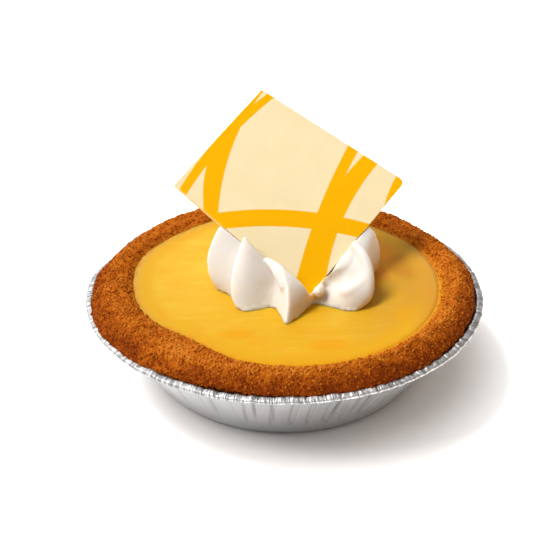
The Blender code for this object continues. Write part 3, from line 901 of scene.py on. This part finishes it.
print("left corner at", [round(c, 1) for c in on_square(-27.3, 38.8)])

# %% Cut the square
def close_rows(work, rows):
    """A skin from one closed row of points to the next, with a lid on both ends, facing out."""
    for upper, lower in zip(rows, rows[1:]):
        for i in range(len(upper)):
            j = (i + 1) % len(upper)
            work.faces.new((upper[i], lower[i], lower[j], upper[j]))
    work.faces.new(rows[0])
    work.faces.new(rows[-1][::-1])
    bmesh.ops.recalc_face_normals(work, faces=work.faces)


def cut_square():
    loop = rounded_outline(SQUARE_CORNERS, SQUARE_ROUNDING)
    edge = []
    for i, point in enumerate(loop):
        ahead = loop[(i + 1) % len(loop)]
        steps = max(1, round((ahead - point).length / 1.2))
        edge += [point.lerp(ahead, step / steps) for step in range(steps)]
    centre = sum(edge, Vector((0, 0))) / len(edge)
    work = bmesh.new()
    flat = work.loops.layers.uv.new("flat")
    rows = []
    for inset, off in BROKEN_EDGE:
        row = []
        for point in edge:
            place = Vector((*point, off))
            wobble = 0.10 * noise.noise(place / 2.2) + 0.05 * noise.noise(place / 0.8)
            moved = point + (centre - point).normalized() * (inset + wobble)
            row.append(work.verts.new(on_square(*moved, off) * MM))
        rows.append(row)
    close_rows(work, rows)
    for face in work.faces:
        for corner_loop in face.loops:
            place = corner_loop.vert.co / MM - SUNK_CORNER
            corner_loop[flat].uv = (place.dot(along), place.dot(up_face))
    bmesh.ops.triangulate(work, faces=[f for f in work.faces if len(f.verts) > 4])
    return settle(work, bpy.data.meshes.new("chocolate_square"))


square = keep_piece("chocolate_square", cut_square())
square.data.set_sharp_from_angle(angle=math.radians(40))
print(len(square.data.polygons), "faces")

# %% [markdown]
# Each stripe is the band between two large circles, and a circle is given by three points that its
# edge passes. The mask of a band is 1 between the circles and falls off over a tenth of a
# millimetre, as wet colour does. The sheet was printed on one side, so the stripes are only where the
# skin faces the way the square does. The ivory has a faint cloudiness, and the broken edge of the
# sheet is rougher than the polished face and painted a little darker, as the shade on its side.

# %% Stripes
STRIPES = (    # three points on one edge, then three on the other
    (((6.3, 61.6), (-5.5, 53.4), (-24.4, 35.6)), ((5.2, 63.4), (-19.5, 44.6), (-25.8, 37.6))),
    (((4.2, 64.4), (-9.3, 47.2), (-17.4, 28.8)), ((-12.0, 52.0), (-18.2, 41.0), (-20.9, 31.5))),
    (((-17.7, 28.5), (3.0, 26.0), (22.8, 18.6)), ((-16.0, 23.5), (1.0, 21.2), (18.0, 15.3))),
    (((24.0, 43.6), (9.4, 24.2), (-1.8, 5.4)), ((26.3, 41.4), (20.4, 34.2), (6.5, 11.0))),
    (((27.2, 39.6), (20.4, 34.2), (4.0, 12.0)), ((30.6, 36.4), (18.8, 24.8), (5.7, 3.0))),
    (((35.0, 31.9), (31.6, 27.9), (28.5, 22.8)), ((44.0, 31.9), (42.0, 27.9), (38.5, 22.8))),
)
print(len(STRIPES), "stripes")


def circle_through(a, b, c):
    """Its middle and its radius."""
    (ax, ay), (bx, by), (cx, cy) = a, b, c
    d = 2 * (ax * (by - cy) + bx * (cy - ay) + cx * (ay - by))
    aa, bb, cc = ax * ax + ay * ay, bx * bx + by * by, cx * cx + cy * cy
    x = (aa * (by - cy) + bb * (cy - ay) + cc * (ay - by)) / d
    y = (aa * (cx - bx) + bb * (ax - cx) + cc * (bx - ax)) / d
    return x, y, math.hypot(ax - x, ay - y)


def side_of(edge, inner):
    """Distance past the edge's circle in millimetres, positive on the side of the inner point."""
    x, y, radius = circle_through(*edge)
    sign = 1 if math.hypot(inner[0] - x, inner[1] - y) > radius else -1
    return (((u - x) ** 2 + (v - y) ** 2) ** 0.5 - radius) * sign


# %% Chocolate finish
chocolate = Finish("white_chocolate", Specular_IOR_Level=0.05, Subsurface_Weight=0.15,
                   Subsurface_Radius=(1.0 * MM, 0.7 * MM, 0.35 * MM), Subsurface_Scale=1.0)
u, v = chocolate.xyz(chocolate.add("ShaderNodeUVMap", {"uv_map": "flat"}).outputs[0])[:2]
wander = (chocolate.noise(chocolate.vector(u, v, 0.0), 1.6, 2.0) - 0.5) * 0.12
yellow = None
for first, second in STRIPES:
    inside_first = side_of(first, second[1]) + wander
    inside_second = side_of(second, first[1]) + wander
    band = inside_first.low(inside_second).step(-0.10, 0.10)
    yellow = band if yellow is None else yellow.high(band)

cloudy = chocolate.noise(chocolate.place, 7.0, 3.0)
fleck = chocolate.noise(chocolate.place, 0.6, 2.0)
out_of_sheet = chocolate.facing(tuple(out_of_face))
# painted shade: the sheet's edge is darker; it is also less polished
matt_shaded_edge = 1 - abs(out_of_sheet).step(0.35, 0.85)
ivory = chocolate.blend(cloudy.step(0.3, 0.7), (0.815, 0.675, 0.405), (0.835, 0.695, 0.425))
ink = chocolate.blend(fleck, (0.835, 0.405, 0.0005), (0.850, 0.425, 0.001))
colour = chocolate.washes(ivory, (yellow * out_of_sheet.step(-0.3, 0.3), ink),
                          (matt_shaded_edge * 0.55, (0.80, 0.48, 0.16)))
relief = chocolate.bump(yellow * 0.6 + cloudy * 0.4, 0.05, 0.5)
square.data.materials.append(chocolate.give(
    Base_Color=colour, Roughness=0.38 + 0.10 * fleck + 0.15 * matt_shaded_edge,
    Normal=chocolate.bump(fleck, 0.02, 0.3, relief)))

# %% [markdown]
# ## Whipped cream
#
# The rosette was piped through a star nozzle, which leaves ridges, and the chocolate was pushed into
# it. The rule of the solid is used again, only finer: a ridge is a quarter ellipse that rises from
# the foot and leans in, its direction turning on the way, and between two ridges the surface sinks
# into a hollow. The third ridge is the fold in front that bulges out and turns over late.

# %% Ridges and hollows
CREAM_CENTRE = np.array((2.5, 0.0))
CREAM_BASE = custard_top


def plain_ridge(direction, reach, height, foot, tip, turn_by=0):
    """Six stations of a quarter ellipse, as direction, radius and height."""
    stations = []
    for rise in np.linspace(0, 1, 6):
        swell = foot * (1 - float(smooth(0, 0.32, rise)))
        stations.append((direction + turn_by * rise ** 1.5,
                         reach * mix(tip, 1.0, math.cos(math.pi / 2 * rise)) + swell,
                         height * math.sin(math.pi / 2 * rise)))
    return stations


RIDGES = (
    ((196, 21.6, 0), (192, 23.3, 3.0), (185, 23.6, 8.0),
     (180, 21.5, 13.4), (178, 19.5, 17.0), (178, 19.2, 20.6)),
    ((227, 22.2, 0), (221, 21.8, 1.8), (216, 20.7, 4.3),
     (210, 18.8, 7.8), (204, 16.2, 12.2), (203, 14.5, 16.4)),
    ((264.5, 24.6, 0), (265, 22.6, 2.2), (265, 19.9, 5.2),
     (262, 16.8, 8.2), (251, 12.8, 10.6), (231, 11.6, 11.6)),
    ((318, 23.8, 0), (325, 24.9, 2.0), (331, 24.2, 4.8),
     (337, 22.6, 8.2), (345, 19.8, 11.2), (363, 15.4, 12.8)),
    ((368, 22.8, 0), (372, 24.5, 2.5), (376, 25.0, 5.2),
     (378, 24.4, 8.2), (381, 22.6, 11.6), (390, 15.0, 14.5)),
    plain_ridge(408, 23.4, 17.3, -1.0, 0.45, 8),
    plain_ridge(445, 22.8, 19.3, -1.0, 0.45),
    plain_ridge(481, 22.8, 20.3, -1.0, 0.45),
    plain_ridge(516, 24.0, 21.3, -1.4, 0.55),
)
HOLLOWS = (    # after each ridge: depth from foot to tip; place; roundness left and right; swing
    ((0.13, 0.17, 0.16, 0.14), 0.70, 1.2, 0.9, 0), ((0.29, 0.37, 0.36, 0.24), 0.66, 2.4, 1.0, 0),
    ((0.38, 0.45, 0.50, 0.42), 0.50, 1.1, 2.6, 72), ((0.16, 0.16, 0.14, 0.12), 0.50, 1.0, 0.9, 0),
    *(((depth,) * 4, 0.5, 0.9, 0.9, 0) for depth in (0.28, 0.28, 0.28, 0.28, 0.22)),
)
RISES, STEPS = 72, 30    # rows up a ridge, columns from one ridge to the next
SUNK_FOOT = 0.12    # how far the cream reaches into the custard
print(len(RIDGES), "ridges")


# %% Rosette rings
def ridge_line(stations, rise):
    """Direction, radius and height of a ridge at every rise, on a smooth line through its stations."""
    line = np.array(outline_through(stations, spacing=0.05))
    lengths = np.linalg.norm(np.diff(line[:, 1:], axis=0), axis=1)
    along_line = np.append(0, np.cumsum(lengths))
    return [np.interp(rise, along_line / along_line[-1], line[:, i]) for i in range(3)]


def hollow_weight(t, place, left, right_side):
    """0 on both ridges and 1 at the hollow's own place between them."""
    if t < place:
        return math.sin(math.pi / 2 * t / place) ** left
    return math.sin(math.pi / 2 * (1 - t) / (1 - place)) ** right_side


def rosette_rings():
    rise = np.linspace(0, 1, RISES + 1)
    columns = []
    once_round = [(d + 360, r, h) for d, r, h in RIDGES[0]]
    for ridge, after, hollow in zip(RIDGES, (*RIDGES[1:], once_round), HOLLOWS):
        depths, place, left, right_side, swing = hollow
        depth = np.interp(rise, (0, 0.33, 0.67, 1), depths)
        here, there = ridge_line(ridge, rise), ridge_line(after, rise)
        for step in range(STEPS):
            t = 0.5 - 0.5 * math.cos(math.pi * step / STEPS)
            weight = hollow_weight(t, place, left, right_side)
            swung = swing * weight * float(smooth(0, place, t)) * smooth(0.1, 0.75, rise)
            direction = np.radians(mix(here[0], there[0], t) + swung)
            radius = mix(here[1], there[1], t) * (1 - depth * weight)
            height = mix(here[2], there[2], t) * (1 - 0.22 * weight * rise)
            columns.append(np.stack((CREAM_CENTRE[0] + np.cos(direction) * radius,
                                     CREAM_CENTRE[1] + np.sin(direction) * radius,
                                     CREAM_BASE + height), 1))
    return np.stack(columns, 1)


rings = rosette_rings()
print("rosette rings", rings.shape, "up to", round(rings[:, :, 2].max(), 1))

# %% Rosette mesh
def rosette_mesh():
    tips = rings[-1]
    crown = tips[:, 2].mean()
    middle = np.array((*CREAM_CENTRE, crown))
    closing = [middle + (tips - middle) * share for share in (0.75, 0.5, 0.25)]
    rows = np.stack([rings[0] - (0, 0, SUNK_FOOT), *rings, *closing])
    points = np.concatenate((rows.reshape(-1, 3), [(*CREAM_CENTRE, CREAM_BASE - SUNK_FOOT), middle]))
    mesh = bpy.data.meshes.new("whipped_cream")
    mesh.from_pydata(points * MM, [], ring_faces(*rows.shape[:2], upwards=True))
    return mesh


cream = keep_piece("whipped_cream", rosette_mesh())
print(len(cream.data.polygons), "faces")

# %% [markdown]
# Whipped cream has one soft skin, so the lobes that the rule doesn't give, such as the curl that
# leans over the chocolate, are added as beads and melted in: a voxel remesh joins everything that
# overlaps, and a smoothing takes the joints away. Between two meltings a cutter opens the rosette
# for the chocolate. It is the square's own outline, drawn straight out of its face.

# %% Beads
INNER_BEADS = (    # from, to, radius at both ends; heights above the custard
    ((16.6, -11.8, 2.2), (20.2, -10.4, 4.2), 3.0, 2.6),
    ((14.4, -5.4, 5.4), (18.9, -1.4, 8.6), 1.9, 2.2),
)
OUTER_BEADS = (
    ((0.4, -14.8, 6.3), (-1.2, -11.2, 8.7), 1.9, 1.75),
    ((-1.2, -11.2, 8.7), (-4.5, -8.2, 10.0), 1.75, 0.9),
    ((9.5, -12.3, 4.0), (8.8, -13.4, 3.5), 1.2, 1.4),
    ((10.9, -9.4, 3.9), (12.9, -5.6, 4.7), 0.9, 0.85),
    ((10.8, -11.6, 1.5), (13.2, -9.2, 2.6), 1.5, 1.5),
)
print(len(INNER_BEADS), "beads before the cut,", len(OUTER_BEADS), "after it")


def bead(first, second, first_radius, second_radius):
    """The hull of two balls, as a mesh."""
    work = bmesh.new()
    for end, size in ((first, first_radius), (second, second_radius)):
        place = Matrix.Translation((Vector(end) + Vector((0, 0, CREAM_BASE))) * MM)
        bmesh.ops.create_icosphere(work, subdivisions=3, radius=size * MM, matrix=place)
    bmesh.ops.delete(work, geom=work.edges[:], context="EDGES_FACES")
    bmesh.ops.convex_hull(work, input=work.verts[:])
    bmesh.ops.delete(work, geom=[v for v in work.verts if not v.link_faces], context="VERTS")
    return settle(work, bpy.data.meshes.new("bead"))


def add_beads(mesh, beads):
    work = bmesh.new()
    for part in (mesh, *(bead(*sizes) for sizes in beads)):
        work.from_mesh(part)
    settle(work, mesh)


def melt(obj, voxel, smoothing):
    remesh = obj.modifiers.new("melt", "REMESH")
    remesh.mode, remesh.voxel_size = "VOXEL", voxel * MM
    soften = obj.modifiers.new("soften", "SMOOTH")
    soften.factor, soften.iterations = 0.5, smoothing
    return finished(obj)


# %% Cut and melt
ROOM = 0.12    # between the chocolate and the cut cream


def cutter(low, high):
    """The square's outline with some room round it, as a block between two heights off its face."""
    work = bmesh.new()
    outline = rounded_outline(SQUARE_CORNERS, SQUARE_ROUNDING, ROOM)
    close_rows(work, [[work.verts.new(on_square(*point, off) * MM) for point in outline]
                      for off in (high, low)])
    return keep_piece("square_room", settle(work, bpy.data.meshes.new("square_room")))


add_beads(cream.data, INNER_BEADS)
melt(cream, voxel=0.35, smoothing=8)
tool = cutter(low=-SQUARE_THICKNESS - ROOM, high=30.0)
opening = cream.modifiers.new("cut", "BOOLEAN")
opening.operation, opening.object = "DIFFERENCE", tool
finished(cream)
bpy.data.objects.remove(tool)
add_beads(cream.data, OUTER_BEADS)
melt(cream, voxel=0.28, smoothing=4)

# %% [markdown]
# The last touches are made as with a spoon: a dent or a bulge pushes the skin in or out round one
# place, rubbing smooths it there, and along the foot the cream is left ragged where it sat down.

# %% Last touches
DENTS = (    # x, y, z, reach, depth; a negative depth is a bulge
    (15.2, -7.8, 30.2, 2.4, 0.6), (17.2, -10.8, 31.2, 2.4, 1.1), (17.4, -14.5, 29.5, 2.8, -1.1),
    (17.4, -5.8, 32.4, 2.2, -1.0), (13.6, -7.0, 30.3, 1.9, 0.9), (-2.5, -12.6, 33.7, 1.6, -0.5),
)
RUBBED = (    # x, y, z, reach, strokes
    (10.4, -11.0, 28.4, 2.6, 6), (16.0, -8.5, 31.0, 5.5, 10),
    (-2.6, -12.4, 33.7, 2.6, 12), (-0.9, -14.4, 31.4, 2.2, 16),
)
RAGGED_FOOT, RAGGED_SIZE = 0.26, 1.3


def touch_up(mesh):
    spots, normals = (np.empty(len(mesh.vertices) * 3, np.float32) for _ in range(2))
    mesh.vertices.foreach_get("co", spots)
    mesh.vertices.foreach_get("normal", normals)
    spots, normals = spots.reshape(-1, 3) / MM, normals.reshape(-1, 3)
    push = np.zeros(len(spots))
    for *middle, reach, depth in DENTS:
        push -= depth * np.exp(-((spots - middle) ** 2).sum(1) / reach ** 2)
    low = 1 - smooth(0.3, 1.8, spots[:, 2] - CREAM_BASE)
    for i in np.flatnonzero(low > 0).tolist():
        push[i] += low[i] * RAGGED_FOOT * noise.noise(Vector(spots[i].tolist()) / RAGGED_SIZE)
    mesh.vertices.foreach_set("co", ((spots + normals * push[:, None]) * MM).ravel())
    work = bmesh.new()
    work.from_mesh(mesh)
    for *middle, reach, strokes in RUBBED:
        near = [v for v in work.verts if (v.co / MM - Vector(middle)).length < reach]
        for _ in range(strokes):
            bmesh.ops.smooth_vert(work, verts=near, factor=0.5,
                                  use_axis_x=True, use_axis_y=True, use_axis_z=True)
    settle(work, mesh)


touch_up(cream.data)
print(len(cream.data.polygons), "faces")

# %% [markdown]
# Cream is hardly ever pure white. Its colour holds painted light: low down a warm tint stands for
# the light that the custard throws back up, the side away from the window is painted warm for the
# bounced light in its shade, and the hollow of the right-hand fold gets the warmest painted shade.
# Its relief is faint: soft drags of the nozzle, fine foam and a few burst bubbles.

# %% Cream finish
AWAY_FROM_WINDOW = (0.84, -0.22, -0.50)
whipped = Finish("whipped_cream", Roughness=0.55, Specular_IOR_Level=0.2, Subsurface_Weight=1.0,
                 Subsurface_Radius=(2.0 * MM, 1.6 * MM, 1.25 * MM), Subsurface_Scale=1.0)
wx, wy, wz = whipped.xyz(whipped.place)
soft = whipped.noise(whipped.place, 4.0, 2.0)
foam = whipped.noise(whipped.place, 0.35, 2.0, 0.6)
# painted light: low down the cream is tinted warm for the light bounced from the custard
painted_bounce_low_down = 1 - (wz - CREAM_BASE + soft * 2.0).step(1.0, 11.0)
# painted light: faces turned from the window are tinted warm, for bounced light in their shade
painted_bounce_in_shade = whipped.facing(AWAY_FROM_WINDOW).step(0.0, 0.85)
# painted shade: the hollow of the right-hand fold is darker and warm
hollow = spot((wx, 13.4, 2.6), (wy, -7.4, 2.6), (wz, 29.8, 2.2))
colour = whipped.washes(
    whipped.blend(soft, (0.730, 0.690, 0.640), (0.750, 0.712, 0.668)),
    (painted_bounce_low_down * 0.5, (0.765, 0.665, 0.520)),
    (painted_bounce_in_shade * 0.8, (0.820, 0.620, 0.390)),
    (hollow.step(0.0, 0.9) * 0.5, (0.640, 0.470, 0.290)))
some_places = whipped.noise(whipped.place, 3.0, 2.0).step(0.56, 0.50)
bubbles = (whipped.cells(whipped.place, 1.3).step(0.10, 0.22) + some_places).low(1.0)
relief = whipped.bump(foam, 0.04, 0.35, whipped.bump(soft, 0.15, 0.3))
cream.data.materials.clear()
cream.data.materials.append(whipped.give(
    Base_Color=colour, Normal=whipped.bump(bubbles, 0.14, 0.5, relief)))

# %% [markdown]
# ## Floor and last steps
#
# The floor is a wide disc just under the pan, and it is marked as stage, because it is no part of the
# pie. It glows, which is painted light: away from the pie the glow makes it overexposed, as a studio
# floor is, and round the pan the glow is left out, so the dark there is a painted soft shadow on top
# of the real one. Every piece rides on the one body of the frame and stands for its solid.

# %% Floor
FLOOR_RADIUS, BELOW_THE_PAN = 12.0, 0.05 * MM    # metres
floor = keep_piece("floor", bpy.data.meshes.new("floor"))
work = bmesh.new()
bmesh.ops.create_circle(work, cap_ends=True, segments=96, radius=FLOOR_RADIUS)
bmesh.ops.translate(work, verts=work.verts, vec=(0, 0, -BELOW_THE_PAN))
settle(work, floor.data)
paper = Finish("pale_floor", Roughness=0.9, Specular_IOR_Level=0.0, Emission_Strength=1.4)
px, py = paper.xyz(paper.place)[:2]
from_pie = ((px - 5) ** 2 + (py - 4) ** 2) ** 0.5
# painted light: the glow rises from nothing round the pan to full away from the pie
lit = from_pie.step(41, 70) * 0.60 + from_pie.step(70, 112) * 0.40
floor.data.materials.append(paper.give(
    Emission_Color=paper.blend(lit, (0.0, 0.0, 0.0), (1.0, 1.0, 1.0)),
    Base_Color=paper.blend(paper.noise(paper.place, 60.0), (0.880, 0.846, 0.822), (0.890, 0.856, 0.832))))
floor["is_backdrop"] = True

# %% Ride and replace
for piece, node, slot in (
        (pan, "foil_pan", "foil"), (crust, "crust", "crumb"), (custard, "filling", "custard"),
        (square, "plaque", "white_chocolate"), (cream, "cream", "whipped_cream")):
    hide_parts(node)
    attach(piece, "root")
for piece in (fine_crumbs, coarse_crumbs):
    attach(piece, "root")
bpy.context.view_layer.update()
for corner in zip(*(cad_box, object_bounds())):
    print([[round(c / MM, 2) for c in point] for point in corner])
